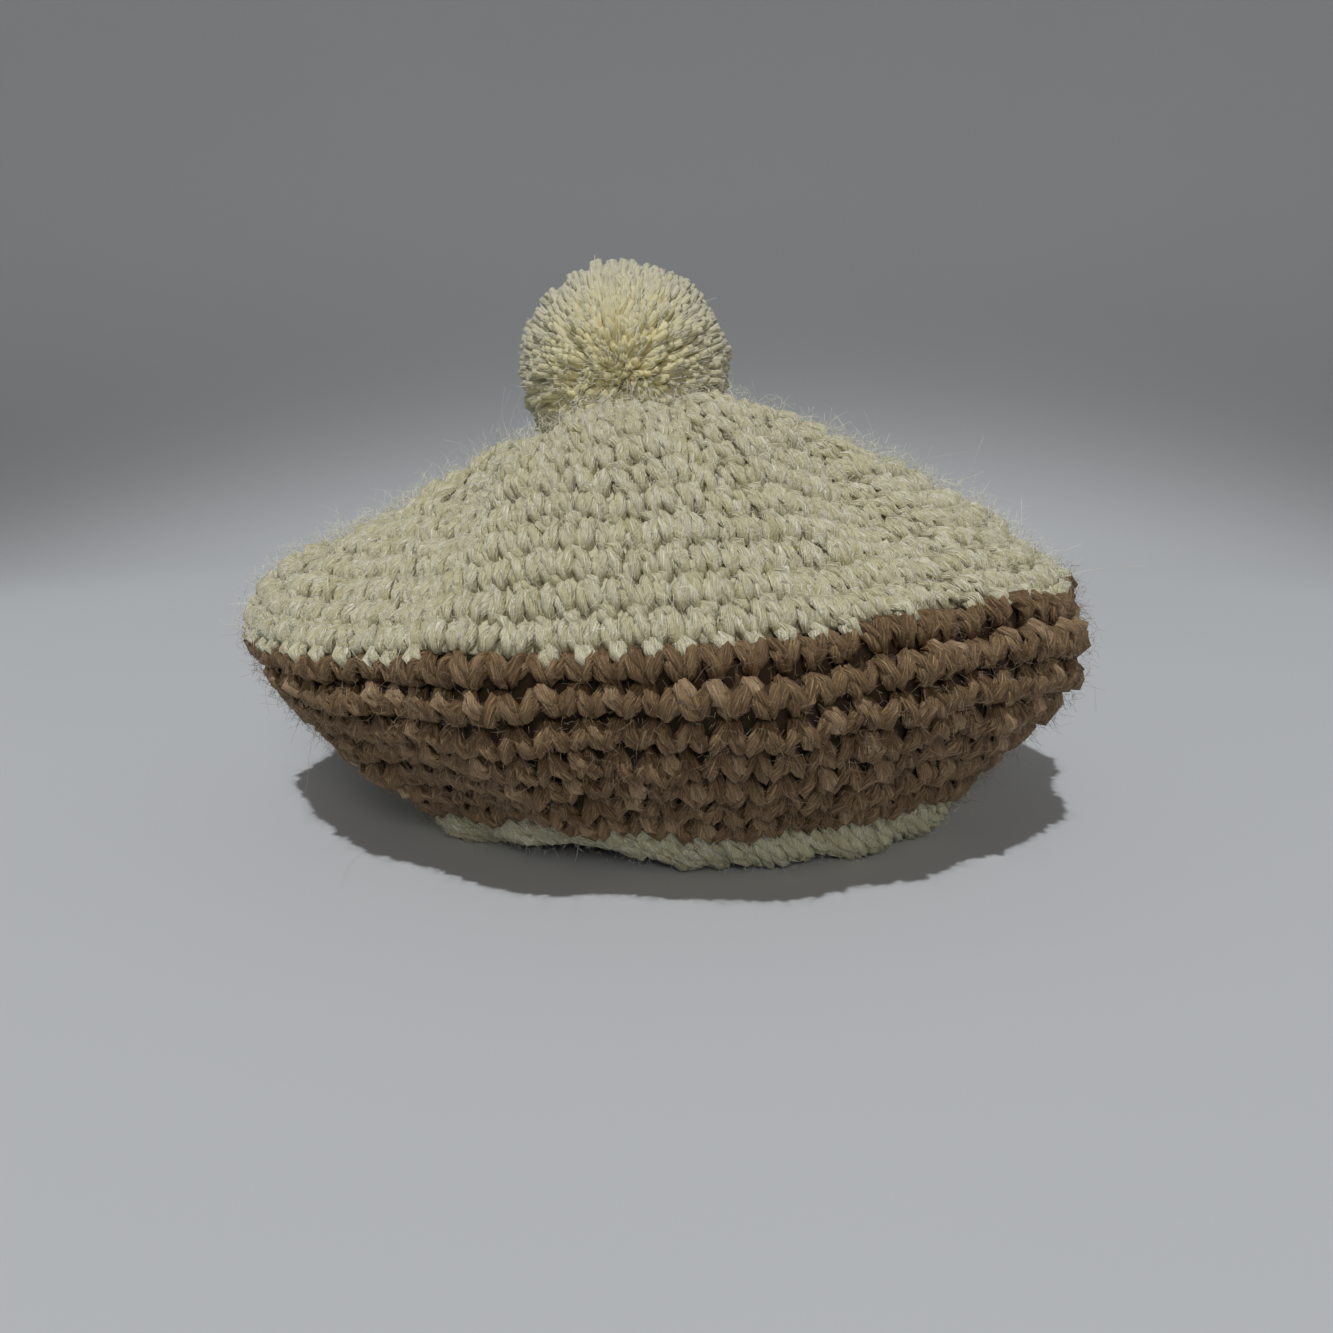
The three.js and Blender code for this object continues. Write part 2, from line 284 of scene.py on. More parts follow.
class Fabric:
    """The beret's outer surface as a grid over azimuth and rounds.

    Rays towards a point in the hollow find the solids' outer faces, the profile at each azimuth is
    divided into rounds by its length, and the ribs are smoothed away.
    """

    AROUND = 360
    PER_ROUND = 8
    # Rays at each azimuth, down to the sole, and where the lean to the pompom's seat has faded.
    POLAR_STEPS = 230
    POLAR_END = math.radians(152)
    LEAN_END = math.radians(85)
    FAR = 0.2
    HEART_HEIGHT = 3 * MM
    SOLE_NORMAL = -0.8
    BLUR_ENDS = 4
    BLUR_GRID = 1.5
    BLUR_RIBS = 0.45

    def __init__(self):
        self.trees = {solid: solid_tree(solid) for solid in SHELLS}
        self.heart = Vector((0, 0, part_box("crown")[0].z + self.HEART_HEIGHT))
        low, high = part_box("pompom")
        self.seat = Vector(((low.x + high.x) / 2, (low.y + high.y) / 2, low.z)) - self.heart
        profiles = [self.profile(2 * math.pi * i / self.AROUND) for i in range(self.AROUND)]
        self.points = self.in_rounds(profiles)
        self.points += self.find_normals() * self.lumps()[..., None]
        self.normals = self.find_normals()

    def direction(self, azimuth, polar):
        """From the heart outwards, with the pole leaned over to the pompom's seat."""
        flat = math.sin(polar)
        plain = Vector((flat * math.cos(azimuth), flat * math.sin(azimuth), math.cos(polar)))
        lean = Vector((0, 0, 1)).rotation_difference(self.seat)
        share = max(0.0, 1 - polar / self.LEAN_END)
        return Quaternion().slerp(lean, share) @ plain

    def hit(self, direction):
        """First face met on the way in, but for the headband's sole: its shell and place, or None."""
        best = None
        start = self.heart + direction * self.FAR
        for shell, tree in self.trees.items():
            place, normal, _, distance = tree.ray_cast(start, -direction, self.FAR)
            if place is None or (shell == "headband" and normal.z < self.SOLE_NORMAL):
                continue
            if best is None or distance < best[2]:
                best = (shell, place, distance)
        return best

    def profile(self, azimuth):
        """Places down the outside at one azimuth, and the lengths at which each shell ends."""
        found = []
        for step in range(self.POLAR_STEPS):
            hit = self.hit(self.direction(azimuth, self.POLAR_END * step / self.POLAR_STEPS))
            if hit:
                found.append(hit)
        places = np.array([hit[1] for hit in found])
        length = lengths_along(places[None])[0]
        order = list(SHELLS)
        shells = np.array([order.index(hit[0]) for hit in found])
        ends = [
            (length[shells <= index].max() + length[shells > index].min()) / 2
            for index in range(len(order) - 1)
        ]
        return places, length, [*ends, length[-1]]

    def in_rounds(self, profiles):
        """The profiles divided into equal steps of their rounds, as a smooth grid."""
        ends = smooth_around(np.array([profile[2] for profile in profiles]), self.BLUR_ENDS)
        rounds = np.arange(LAST_ROUND * self.PER_ROUND + 1) / self.PER_ROUND
        marks = [0, *(last for _, last in SHELLS.values())]
        rows = []
        for (places, length, _), end in zip(profiles, ends):
            wanted = np.interp(rounds, marks, [0, *end])
            rows.append(np.stack([np.interp(wanted, length, places[:, i]) for i in range(3)], 1))
        return self.without_ribs(smooth_around(np.array(rows), self.BLUR_GRID))

    def without_ribs(self, grid):
        """Smooths across the rounds, through the spot under the pompom to the other side."""
        weights, reach = bell(self.BLUR_RIBS * self.PER_ROUND)
        opposite = np.roll(grid, self.AROUND // 2, axis=0)
        before = opposite[:, reach:0:-1]
        after = 2 * grid[:, -1:] - grid[:, -2 : -reach - 2 : -1]
        padded = np.concatenate([before, grid, after], axis=1)
        count = grid.shape[1]
        return sum(w * padded[:, i : i + count] for i, w in enumerate(weights))

    def lumps(self):
        """Slight hand-made unevenness of the fabric, as a few waves that fade at the pompom."""
        WAVES = 14
        HEIGHT = 0.35 * MM
        TOPS_AROUND = (4, 22)
        SLANT = 0.9
        PHASE = 6.3
        FADE_ROUNDS = 5
        SEED = 7
        random = np.random.default_rng(SEED)
        azimuth = 2 * math.pi * np.arange(self.AROUND)[:, None] / self.AROUND
        rounds = np.arange(self.points.shape[1])[None] / self.PER_ROUND
        waves = 0.0
        for _ in range(WAVES):
            tops = random.integers(*TOPS_AROUND)
            slant = random.normal(0, SLANT)
            waves = waves + np.sin(tops * azimuth + slant * rounds + random.random() * PHASE)
        return HEIGHT * waves * np.clip(rounds / FADE_ROUNDS, 0, 1)

    def find_normals(self):
        around = np.roll(self.points, -1, axis=0) - np.roll(self.points, 1, axis=0)
        down = np.gradient(self.points, axis=1)
        normals = np.cross(down, around)
        normals[:, 0] = (0, 0, 1)
        return unit(normals)

    def look_up(self, grid, turn, rounds):
        """Grid values at places given in turns and rounds, between the four nearest."""
        column = np.mod(turn, 1) * self.AROUND
        row = np.clip(rounds, 0, LAST_ROUND) * self.PER_ROUND
        left = np.floor(column).astype(int) % self.AROUND
        above = np.minimum(np.floor(row).astype(int), grid.shape[1] - 2)
        past_left = (column - np.floor(column))[..., None]
        past_above = (row - above)[..., None]
        right = (left + 1) % self.AROUND
        at_left = grid[left, above] * (1 - past_above) + grid[left, above + 1] * past_above
        at_right = grid[right, above] * (1 - past_above) + grid[right, above + 1] * past_above
        return at_left * (1 - past_left) + at_right * past_left

    def at(self, turn, rounds, out):
        """Places on the fabric, raised by `out` metres. Past the last round they stay at its edge."""
        turn, rounds, out = np.broadcast_arrays(turn, rounds, out)
        point = self.look_up(self.points, turn, rounds)
        return point + self.normal(turn, rounds) * out[..., None]

    def normal(self, turn, rounds):
        return unit(self.look_up(self.normals, turn, rounds))

    def round_length(self, rounds):
        """Length of a whole round."""
        turns = np.arange(self.AROUND) / self.AROUND
        ring = self.at(turns, rounds, 0.0)
        return np.linalg.norm(ring - np.roll(ring, 1, axis=0), axis=1).sum()


@cache
def fabric():
    """The fabric's surface, felt out once."""
    return Fabric()


# Meshes from arrays


def unit(vectors):
    return vectors / np.linalg.norm(vectors, axis=-1, keepdims=True)


def lengths_along(paths):
    """The length from each path's start to each of its steps."""
    stretches = np.linalg.norm(np.diff(paths, axis=1), axis=2)
    return np.concatenate([np.zeros((len(paths), 1)), np.cumsum(stretches, axis=1)], axis=1)


def new_piece(name, vertices, faces, uvs, material, slot, replaces, tint=None, tip=None):
    """A piece from vertices, lists of equal-sized faces with their UVs, and vertex attributes."""
    # Nothing goes through the floor.
    vertices[:, 2] = np.maximum(vertices[:, 2], 0)
    corners = np.concatenate([block.ravel() for block in faces]).astype(np.int32)
    sizes = np.concatenate([np.full(len(block), block.shape[1]) for block in faces])
    starts = np.concatenate([[0], np.cumsum(sizes)[:-1]]).astype(np.int32)
    mesh = bpy.data.meshes.new(name)
    mesh.vertices.add(len(vertices))
    mesh.vertices.foreach_set("co", np.ascontiguousarray(vertices, np.float32).ravel())
    mesh.loops.add(len(corners))
    mesh.loops.foreach_set("vertex_index", corners)
    mesh.polygons.add(len(sizes))
    mesh.polygons.foreach_set("loop_start", starts)
    mesh.polygons.foreach_set("use_smooth", np.ones(len(sizes), bool))
    layer = mesh.uv_layers.new(name="yarn")
    flat = np.concatenate([block.reshape(-1, 2) for block in uvs]).astype(np.float32)
    layer.data.foreach_set("uv", flat.ravel())
    for label, values in (("tint", tint), ("tip", tip)):
        if values is not None:
            attribute = mesh.attributes.new(label, "FLOAT", "POINT")
            attribute.data.foreach_set("value", values.astype(np.float32))
    mesh.update(calc_edges=True)
    if mesh.validate():
        raise RuntimeError(f"the mesh of {name} is broken")
    piece = bpy.data.objects.new(name, mesh)
    bpy.context.scene.collection.objects.link(piece)
    mesh.materials.append(material)
    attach(piece, "root")
    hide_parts(replaces)
    return piece


def cross_directions(paths, ups):
    """For every step of every path: the directions to the side and on top."""
    along = unit(np.gradient(paths, axis=1))
    side = unit(np.cross(along, ups))
    return side, np.cross(side, along)


def tubes(paths, halves, ups, sides):
    """Closed tubes along many paths at once, as vertices, faces and UVs in metres and turns.

    `paths` is (tubes, steps, 3), `halves` (tubes, steps) and `ups` a direction for each step that
    is never along the path. `each` is how many vertices a tube has, and `share_along` how far
    along the tube each of them is.
    """
    count, steps, _ = paths.shape
    side, top = cross_directions(paths, ups)
    angle = 2 * math.pi * np.arange(sides) / sides
    ring = np.cos(angle)[:, None] * side[:, :, None] + np.sin(angle)[:, None] * top[:, :, None]
    vertices = paths[:, :, None] + ring * halves[:, :, None, None]
    length = lengths_along(paths)

    row, column = np.meshgrid(np.arange(steps - 1), np.arange(sides), indexing="ij")
    wall_rows = np.stack([row, row + 1, row + 1, row], -1).reshape(-1, 4)
    wall_columns = np.stack([column, column, column + 1, column + 1], -1).reshape(-1, 4)
    around = np.arange(sides)
    cap_rows = np.repeat([[0], [steps - 1]], sides, axis=1)
    cap_columns = np.stack([around, around[::-1]])
    start = (np.arange(count) * steps * sides)[:, None, None]
    faces, uvs = [], []
    for rows, columns in ((wall_rows, wall_columns), (cap_rows, cap_columns)):
        corners = rows * sides + columns % sides
        faces.append((corners[None] + start).reshape(-1, corners.shape[-1]))
        turns = np.broadcast_to(columns / sides, (count, *columns.shape))
        uvs.append(np.stack([length[:, rows], turns], -1).reshape(-1, corners.shape[-1], 2))
    return {
        "vertices": vertices.reshape(-1, 3),
        "faces": faces,
        "uvs": uvs,
        "each": steps * sides,
        "share_along": np.repeat(np.arange(steps), sides) / (steps - 1),
    }


def plied(paths, halves, ups, lay, phases):
    """Yarns of three plies: each ply's path round the yarn's own, with its half thickness."""
    PLIES = 3
    FROM_MIDDLE = 0.44
    PLY = 0.62
    side, top = cross_directions(paths, ups)
    length = lengths_along(paths)
    for ply in range(PLIES):
        angle = 2 * math.pi * (ply / PLIES + phases[:, None] + length / lay)
        offset = np.cos(angle)[..., None] * side + np.sin(angle)[..., None] * top
        yield paths + offset * (FROM_MIDDLE * halves)[..., None], halves * PLY


def piece_of_tubes(name, parts, material, slot, replaces, random, pale=0.5, differ=0.22):
    """One piece of many tubes, whose tints differ around `pale`."""
    start = 0
    faces, uvs, tint, tip = [], [], [], []
    for part in parts:
        count = len(part["vertices"]) // part["each"]
        faces += [block + start for block in part["faces"]]
        uvs += part["uvs"]
        tints = np.clip(pale + random.normal(0, differ, count), 0, 1)
        tint.append(np.repeat(tints, part["each"]))
        tip.append(np.tile(part["share_along"], count))
        start += len(part["vertices"])
    vertices = np.concatenate([part["vertices"] for part in parts])
    attributes = np.concatenate(tint), np.concatenate(tip)
    return new_piece(name, vertices, faces, uvs, material, slot, replaces, *attributes)


# Nodes of the materials


def new_material(name, sockets):
    """A material with plain values on its shader: the material, its tree and the shader."""
    material = bpy.data.materials.new(name)
    material.use_nodes = True
    shader = material.node_tree.nodes["Principled BSDF"]
    for socket, value in sockets.items():
        shader.inputs[socket].default_value = value
    return material, material.node_tree, shader


def add_node(tree, kind, **settings):
    made = tree.nodes.new(kind)
    for name, value in settings.items():
        if name in made.inputs.keys():
            made.inputs[name].default_value = value
        else:
            setattr(made, name, value)
    return made


def feed(tree, socket, value):
    """Gives a socket a plain value, or links it to another socket."""
    if isinstance(value, bpy.types.NodeSocket):
        tree.links.new(value, socket)
    else:
        socket.default_value = value


def maths(tree, operation, first, second):
    made = add_node(tree, "ShaderNodeMath", operation=operation)
    feed(tree, made.inputs[0], first)
    feed(tree, made.inputs[1], second)
    return made.outputs[0]


def times(tree, first, second):
    return maths(tree, "MULTIPLY", first, second)


def mixed(tree, share, first, second):
    """Two colours mixed, with `share` of the second one."""
    FACTOR, FIRST_COLOUR, SECOND_COLOUR = 0, 6, 7
    MIXED_COLOUR = 2
    made = add_node(tree, "ShaderNodeMix", data_type="RGBA")
    feed(tree, made.inputs[FACTOR], share)
    feed(tree, made.inputs[FIRST_COLOUR], first)
    feed(tree, made.inputs[SECOND_COLOUR], second)
    return made.outputs[MIXED_COLOUR]


def shade(colour, factor=1.0):
    """A colour made lighter or darker, with its alpha."""
    return (*(channel * factor for channel in colour[:3]), 1.0)


def vertex_value(tree, name):
    return add_node(tree, "ShaderNodeAttribute", attribute_name=name).outputs["Fac"]


def stretched(tree, value, low, high):
    """A value with its range from `low` to `high` stretched to 0 to 1."""
    stretch = add_node(tree, "ShaderNodeMapRange", **{"From Min": low, "From Max": high})
    tree.links.new(value, stretch.inputs["Value"])
    return stretch.outputs["Result"]


def patches(tree, scale, detail, roughness=0.5):
    """Noise over the piece's own coordinates."""
    place = add_node(tree, "ShaderNodeTexCoord")
    noise = add_node(tree, "ShaderNodeTexNoise", Scale=scale, Detail=detail, Roughness=roughness)
    tree.links.new(place.outputs["Object"], noise.inputs["Vector"])
    return noise.outputs["Fac"]


def relief(tree, shader, height, strength, depth):
    bump = add_node(tree, "ShaderNodeBump", Strength=strength, Distance=depth)
    tree.links.new(height, bump.inputs["Height"])
    tree.links.new(bump.outputs[0], shader.inputs["Normal"])


def two_tones(tree, shader, share, colour, dark, light):
    """Paints a colour made darker and lighter, with `share` of the lighter one."""
    base = mixed(tree, share, shade(colour, dark), shade(colour, light))
    tree.links.new(base, shader.inputs["Base Color"])


def yarn_lines(tree, tint, number, reach):
    """Fibres along a strand, from 0 to 1: how many go round it, and how long they are."""
    TWIST = 60.0
    STRANDS_APART = 37.0
    LOW, HIGH = 0.33, 0.67
    uv = add_node(tree, "ShaderNodeUVMap", uv_map="yarn")
    split = add_node(tree, "ShaderNodeSeparateXYZ")
    tree.links.new(uv.outputs[0], split.inputs[0])
    along, around = split.outputs[0], split.outputs[1]
    twisted = maths(tree, "ADD", around, times(tree, along, TWIST))
    places = add_node(tree, "ShaderNodeCombineXYZ")
    tree.links.new(times(tree, along, 1 / reach), places.inputs[0])
    tree.links.new(times(tree, twisted, number), places.inputs[1])
    tree.links.new(times(tree, tint, STRANDS_APART), places.inputs[2])
    noise = add_node(tree, "ShaderNodeTexNoise", Scale=1.0, Detail=2.0, Roughness=0.65)
    tree.links.new(places.outputs[0], noise.inputs["Vector"])
    return stretched(tree, noise.outputs["Fac"], LOW, HIGH)


def soften(shader, colour, weight, reach):
    """Lets light through the outermost fibres."""
    LEAST = 0.4
    shader.inputs["Subsurface Weight"].default_value = weight
    shader.inputs["Subsurface Radius"].default_value = tuple(LEAST + channel for channel in colour)
    shader.inputs["Subsurface Scale"].default_value = reach


# Materials


def yarn_material(name, colour, pale, dark_tone_and_shade, gloss, differ):
    """Soft spun plies: fibres in relief along each ply, tinted strand by strand, with painted shade in
    the creases between fibres and a painted highlight on their tops.
    """
    FIBRES, FIBRE_LENGTH = 15.0, 3.5 * MM
    PLAIN = 0.7
    CLOUDS = 0.35
    PAINTED_CREASE_SHADE = 0.55
    LIT, LIT_EDGE = 0.9, 3.0
    GRAIN = 0.8
    sockets = {
        "Roughness": 0.52,
        "Sheen Weight": 0.3,
        "Sheen Roughness": 0.45,
        "Sheen Tint": shade(colour, 1.2),
        "Specular IOR Level": gloss,
    }
    material, tree, shader = new_material(name, sockets)
    soften(shader, colour, weight=0.25, reach=0.9 * MM)
    tint = vertex_value(tree, "tint")
    lines = yarn_lines(tree, tint, FIBRES, FIBRE_LENGTH)
    plain = times(tree, patches(tree, scale=260.0, detail=3.0, roughness=0.6), PLAIN)
    clouds = times(tree, patches(tree, scale=22.0, detail=1.0), CLOUDS)
    # Painted shade: the dark colour laid in the creases between the fibre lines. Painted highlight: the
    # pale colour on the lines' tops.
    creases = times(tree, maths(tree, "SUBTRACT", 1.0, lines), PAINTED_CREASE_SHADE)
    lit = maths(tree, "POWER", times(tree, lines, LIT), LIT_EDGE)
    base = mixed(tree, times(tree, tint, differ), shade(dark_tone_and_shade), shade(pale))
    base = mixed(tree, plain, base, shade(colour))
    base = mixed(tree, clouds, base, shade(dark_tone_and_shade))
    # Painted shade in the creases, then the painted highlight.
    base = mixed(tree, creases, base, shade(dark_tone_and_shade))
    base = mixed(tree, lit, base, shade(pale))
    tree.links.new(base, shader.inputs["Base Color"])
    grain = times(tree, patches(tree, scale=2600.0, detail=2.0, roughness=0.6), GRAIN)
    height = maths(tree, "ADD", lines, grain)
    relief(tree, shader, height, strength=1.0, depth=0.32 * MM)
    return material


def pompom_material(name, colour, hub):
    """Cut yarn: a painted warm shade, yellower, round the parting, at the roots and in the creases
    between its fibres, with pale tips further out.
    """
    # Distances from the hub over which the painted warm shade fades out.
    NEAR = 12 * MM
    FAR = 24 * MM
    FIBRES, FIBRE_LENGTH = 12.0, 5 * MM
    TIP_EDGE = 0.7
    PAINTED_CREASE_SHADE = 0.5
    TINTED, TINT = 0.4, 0.88
    sockets = {
        "Roughness": 0.7,
        "Sheen Weight": 0.15,
        "Sheen Tint": shade(colour, 1.1),
        "Specular IOR Level": 0.3,
    }
    material, tree, shader = new_material(name, sockets)
    soften(shader, colour, weight=0.35, reach=1.2 * MM)
    tint = vertex_value(tree, "tint")
    lines = yarn_lines(tree, tint, FIBRES, FIBRE_LENGTH)
    place = add_node(tree, "ShaderNodeTexCoord")
    away = add_node(tree, "ShaderNodeVectorMath", operation="DISTANCE")
    tree.links.new(place.outputs["Object"], away.inputs[0])
    away.inputs[1].default_value = hub
    outer = stretched(tree, away.outputs["Value"], NEAR, FAR)
    # Painted warm shade nearest the hub and the roots, the pompom's own colour further out; painted
    # shade too in the creases between fibre lines.
    out_of_warm_shade = times(tree, maths(tree, "POWER", vertex_value(tree, "tip"), TIP_EDGE), outer)
    base = mixed(tree, out_of_warm_shade, shade(POMPOM_WARM_SHADE), shade(colour))
    base = mixed(tree, lines, mixed(tree, PAINTED_CREASE_SHADE, base, shade(POMPOM_WARM_SHADE)), base)
    base = mixed(tree, times(tree, tint, TINTED), base, shade(colour, TINT))
    tree.links.new(base, shader.inputs["Base Color"])
    relief(tree, shader, lines, strength=0.8, depth=0.25 * MM)
    return material


def fibre_material(name, colour):
    """Loose fibres, some darker and some lighter."""
    material, tree, shader = new_material(name, {"Roughness": 0.7, "Sheen Weight": 0.3})
    two_tones(tree, shader, vertex_value(tree, "tint"), colour, dark=0.8, light=1.35)
    return material


def backing_material(name, colour):
    """The fabric behind the outer strands, and its inner face."""
    material, tree, shader = new_material(name, {"Roughness": 0.95, "Sheen Weight": 0.2})
    noise = patches(tree, scale=700.0, detail=4.0, roughness=0.65)
    two_tones(tree, shader, noise, colour, dark=0.55, light=1.05)
    relief(tree, shader, noise, strength=0.8, depth=0.4 * MM)
    return material


def floor_material(name, colour):
    material, tree, shader = new_material(name, {"Roughness": 0.8})
    noise = patches(tree, scale=6.0, detail=2.0)
    two_tones(tree, shader, noise, colour, dark=0.985, light=1.015)
    return material


@cache
def yarn(name):
    """The beret's materials, each made once."""
    yarns = bpy.context.scene.beret_yarn
    plain = {"cream": yarns.cream, "brown": yarns.brown, "tan": TAN}
    gloss = {"cream": 0.5, "brown": 0.3, "tan": 0.3}
    differ = {"cream": 0.9, "brown": 1.0, "tan": 1.0}
    # The backings are darker than their yarns, most of all the brown one, as painted shade in the gaps
    # between the strands.
    behind = {"cream": 0.95, "brown": 0.45}
    if name == "pompom":
        return pompom_material("pompom_yarn", bpy.context.scene.beret_pompom.cream, pompom_hub())
    colour, _, kind = name.partition("_")
    if kind == "back":
        return backing_material(name, shade(plain[colour], behind[colour]))
    if kind == "fibre":
        return fibre_material(name, FIBRE[colour])
    colours = plain[name], LIGHT_TONE_AND_HIGHLIGHT[name], DARK_TONE_AND_SHADE[name]
    return yarn_material(f"{name}_yarn", *colours, gloss[name], differ[name])


# Crochet


@cache
def stitch_counts():
    """Stitches in each round, even numbers that grow and shrink with its length."""
    FEWEST = 6
    width = bpy.context.scene.beret_yarn.stitch
    lengths = [fabric().round_length(index + 0.5) for index in range(LAST_ROUND)]
    return [max(FEWEST, 2 * round(length / width / 2)) for length in lengths]


def cells(first, last):
    """The stitches of some rounds, in rows: their middles and widths in turns, and their rounds."""
    rings = []
    for index in range(first, last):
        count = stitch_counts()[index]
        turn = (np.arange(count) + DRIFT * index) / count
        rings.append(np.stack([turn, np.full(count, 1 / count), np.full(count, index)]))
    return np.concatenate(rings, axis=1)


def over_cells(strand, stitches, mirror, random):
    """One strand of the stitch laid over every cell, as its plies."""
    SIDES = 4
    LEAN, LEANS_DIFFER = 0.06, 0.04
    ACROSS_DIFFERS = 0.03
    ALONG_DIFFERS = 0.02
    OUT_DIFFERS = 0.15
    LAY_DIFFERS = 0.12
    LESS_ALONG, MORE_OUT = 0.3, 2
    yarns = bpy.context.scene.beret_yarn
    shape = {name: np.array(steps) for name, steps in strand.items()}
    turn, width, rounds = stitches
    each = (len(turn), 1)

    def vary(amount):
        return 1 + random.normal(0, amount, each)

    lean = random.normal(LEAN, LEANS_DIFFER, each)
    shift = random.normal(0, ACROSS_DIFFERS, each)
    across = mirror * shape["across"] * vary(yarns.unevenness) + lean * shape["along"] + shift
    along = shape["along"] * vary(LESS_ALONG * yarns.unevenness)
    along = along + random.normal(0, ALONG_DIFFERS, each)
    out = shape["out"] * vary(MORE_OUT * yarns.unevenness) + random.normal(0, OUT_DIFFERS, each)
    halves = shape["half"] * vary(yarns.unevenness) * MM
    turns = turn[:, None] + across * width[:, None]
    rows = rounds[:, None] + along
    surface = fabric()
    paths = surface.at(turns, rows, LEVEL + out * MM)
    ups = surface.look_up(surface.normals, turns, rows)
    lay = yarns.lay * vary(LAY_DIFFERS)
    plies = plied(paths, halves, ups, lay, random.random(len(turn)))
    return [tubes(path, half, ups, SIDES) for path, half in plies]


def crochet(name, shell, leg, material, slot, seed):
    """The outer strands of a shell: two legs for each stitch."""
    random = np.random.default_rng(seed)
    stitches = cells(*SHELLS[shell])
    legs = []
    for mirror in (1, -1):
        legs += over_cells(leg, stitches, mirror, random)
    return piece_of_tubes(name, legs, material, slot, shell, random)


def loops(name, shell, loop, material, slot, span, seed, share=1.0, pale=0.5):
    """A share of the loops that show between the stitches of a span of rounds."""
    random = np.random.default_rng(seed)
    stitches = cells(*span)
    shown = random.random(stitches.shape[1]) < share
    parts = over_cells(loop, stitches[:, shown], 1, random)
    return piece_of_tubes(name, parts, material, slot, shell, random, pale)


def roll(name, shell, strand, material, slot, seed):
    """Slanted strands over all rounds of a shell, two for each stitch, like a rolled edge."""
    random = np.random.default_rng(seed)
    first = SHELLS[shell][0]
    turn, width, rounds = cells(first, first + 1)
    strands = []
    for half in (0, 0.5):
        strands += over_cells(strand, (turn + half * width, width, rounds), 1, random)
    return piece_of_tubes(name, strands, material, slot, shell, random)


def backing(name, shell, material, slot):
    """The closed fabric behind the outer strands, with the stitches' wrong side on its inside."""
    vertices, faces = closed_shell(backing_rings(shell), from_pole=shell == "crown")
    uvs = [vertices[block][..., :2] for block in faces]
    return new_piece(name, vertices, faces, uvs, material, slot, shell)


def backing_rings(shell):
    """Rings down the fabric's outside, grooved between the rounds, and back up its ridged inside."""
    AROUND = 168
    STEPS_OUTSIDE, STEPS_INSIDE = 2, 4
    OUTSIDE = LEVEL + 0.2 * MM
    GROOVE = {"crown": 0.5 * MM, "underbrim": 2.0 * MM, "headband": 1.0 * MM}[shell]
    RIDGE = 0.5 * MM
    RIDGE_FOOT = 0.3 * MM
    LOW, HIGH = 0.4, 0.6
    OFF_FLOOR = 0.2 * MM
    first, last = SHELLS[shell]
    wall = bpy.context.scene.beret_yarn.wall
    turns = np.arange(AROUND) / AROUND
    surface = fabric()
    counts = [*stitch_counts(), stitch_counts()[-1]]
    rings = []
    for row in np.linspace(first, last, (last - first) * STEPS_OUTSIDE + 1):
        groove = GROOVE * (0.5 + 0.5 * math.cos(2 * math.pi * row))
        rings.append(surface.at(turns, row, OUTSIDE - groove))
    for row in np.linspace(last, first, (last - first) * STEPS_INSIDE + 1):
        stitch = turns * counts[int(row)] - DRIFT * int(row)
        bumps = 0.5 + 0.5 * np.cos(2 * math.pi * stitch)
        ridge = RIDGE * (0.5 - 0.5 * math.cos(2 * math.pi * row)) * (LOW + HIGH * bumps)
        rings.append(surface.at(turns, row, -wall - ridge + RIDGE_FOOT))
    rings = np.array(rings)
    if shell == "headband":
        rings[..., 2] = np.maximum(rings[..., 2], OFF_FLOOR)
    return rings


def closed_shell(rings, from_pole):
    """Vertices and faces over rings that close on themselves, or run from a pole back to a pole."""
    poles = rings[0].mean(axis=0), rings[-1].mean(axis=0)
    if from_pole:
        rings = rings[1:-1]
    count, sides, _ = rings.shape
    bands = np.arange(count - 1 if from_pole else count)
    row, column = np.meshgrid(bands * sides, np.arange(sides), indexing="ij")
    below = (row + sides) % (count * sides)
    beside = (column + 1) % sides
    quads = np.stack([row + column, below + column, below + beside, row + beside], -1)
    faces = [quads.reshape(-1, 4)]
    vertices = rings.reshape(-1, 3)
    if from_pole:
        around = np.arange(sides)
        beside = (around + 1) % sides
        last = (count - 1) * sides
        start, end = (np.full(sides, len(vertices) + index) for index in (0, 1))
        faces.append(np.stack([start, around, beside], -1))
        faces.append(np.stack([last + around, end, last + beside], -1))
        vertices = np.concatenate([vertices, poles])
    return vertices, faces


# Fuzz


def hairs(starts, directions, lengths, halves, curl, rows, random):
    """Thin curled fibres, without those that reach far past the solids' box or to the floor."""
    SIDES = 3
    THIN_END = 0.5
    BACK = 0.5
    WAVE = 4.5
    PROUD, PROUD_SHARE = 9 * MM, 0.02
    OFF_FLOOR = 0.3 * MM
    count = len(starts)
    bend = unit(np.cross(directions, random.normal(0, 1, (count, 3))))
    other = np.cross(directions, bend)
    first = random.normal(0, curl, (count, 1, 1))
    second = random.normal(0, BACK * curl, (count, 1, 1))
    t = np.linspace(0, 1, rows)[None, :, None]
    paths = starts[:, None] + lengths[:, None, None] * (
        directions[:, None] * t
        + bend[:, None] * first * t**2
        + other[:, None] * second * np.sin(WAVE * t) * t
    )
    taper = np.linspace(1, THIN_END, rows)[None] * halves[:, None]
    ups = np.broadcast_to(bend[:, None], paths.shape)
    low, high = np.array(CAD_BOX)
    proud = PROUD_SHARE * (high - low) + PROUD
    kept = ((paths > low - proud) & (paths < high + proud)).all((1, 2))
    kept &= (paths[..., 2] > OFF_FLOOR).all(1)
    return tubes(paths[kept], taper[kept], ups[kept], SIDES)


